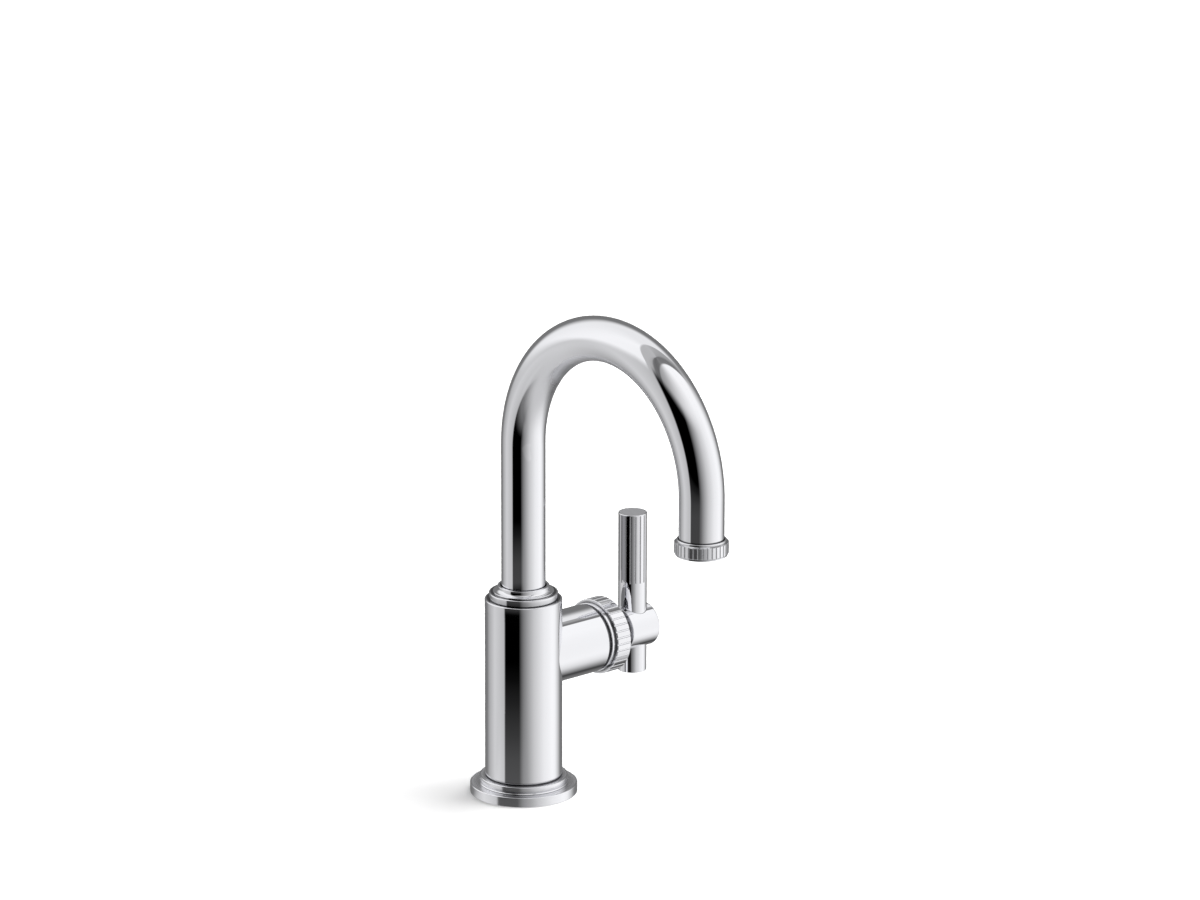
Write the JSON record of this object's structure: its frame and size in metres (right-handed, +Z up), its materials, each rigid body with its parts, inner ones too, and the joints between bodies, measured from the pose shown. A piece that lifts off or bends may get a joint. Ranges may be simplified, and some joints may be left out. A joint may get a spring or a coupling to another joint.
{
  "type": "drinking water faucet",
  "caption": "Chrome drinking water faucet with a swivelling gooseneck spout, a cylindrical body on a round flange, and a fluted quarter-turn lever on a side valve.",
  "frame": {"origin": "on the deck surface, on the upright axis of the body, where the flange sits", "axes": "+Z up, -Y the way the spout points (the front), +X the side that the handle is on"},
  "size_m": [0.1085, 0.1701, 0.3326],
  "materials": {
    "polished_chrome": "mirror-polished chrome plate on brass",
    "turned_chrome": "chrome plate over fine turning lines",
    "machined_brass": "bare machined brass",
    "black_rubber": "matt black rubber",
    "white_nylon": "natural nylon",
    "ceramic": "lapped white ceramic",
    "stainless_steel": "fine brushed stainless steel",
    "grey_plastic": "moulded grey plastic",
    "red_fibre": "pressed fibre"
  },
  "bodies": {
    "fixed": {"base_plate": "turned_chrome", "deck_gasket": "black_rubber", "step_ring": "turned_chrome", "valve_body": "polished_chrome", "collar_ring": "polished_chrome", "spout_nut": "polished_chrome", "spout_bush": "white_nylon", "thrust_washer": "white_nylon", "seat_seal": "black_rubber", "fixed_disc": "ceramic", "cartridge_housing": "machined_brass", "housing_o_ring": "black_rubber", "cartridge_nut": "machined_brass", "bonnet_ring": "polished_chrome", "shank": "machined_brass", "inlet_washer": "red_fibre", "inlet_nipple": "machined_brass"},
    "spout": {"spout_tube": "polished_chrome", "spout_foot": "machined_brass", "spout_o_rings": "black_rubber", "snap_ring": "stainless_steel", "aerator_ring": "polished_chrome", "aerator_washer": "black_rubber", "aerator_insert": "grey_plastic", "aerator_screen": "stainless_steel"},
    "handle": {"handle_hub": "polished_chrome", "lever_bar": "polished_chrome", "handle_set_screw": "stainless_steel", "lever_set_screw": "stainless_steel", "valve_stem": "machined_brass", "moving_disc": "ceramic", "stem_o_rings": "black_rubber", "stem_clip": "stainless_steel"},
    "clamp": {"clamp_gasket": "black_rubber", "clamp_washer": "stainless_steel"},
    "nut": {"mounting_nut": "machined_brass"}
  },
  "joints": [
    {"name": "spout_swivel", "type": "hinge", "parent": "fixed", "child": "spout", "pos_m": [0, 0, 0], "axis": [0, 0, 1], "continuous": true},
    {"name": "handle_turn", "type": "hinge", "parent": "fixed", "child": "handle", "pos_m": [0.0724, 0, 0.0708], "axis": [1, 0, 0], "range_deg": [0, 90]},
    {"name": "clamp_slide", "type": "slide", "parent": "fixed", "child": "clamp", "axis": [0, 0, 1], "range_m": [-0.02, 0.017]},
    {"name": "nut_spin", "type": "hinge", "parent": "clamp", "child": "nut", "pos_m": [0, 0, -0.0295], "axis": [0, 0, 1], "range_deg": [-4800, 4080]}
  ],
  "couplings": [
    {"joint": "clamp_slide", "follows": "nut_spin", "m_per_rad": 0.00023873}
  ]
}
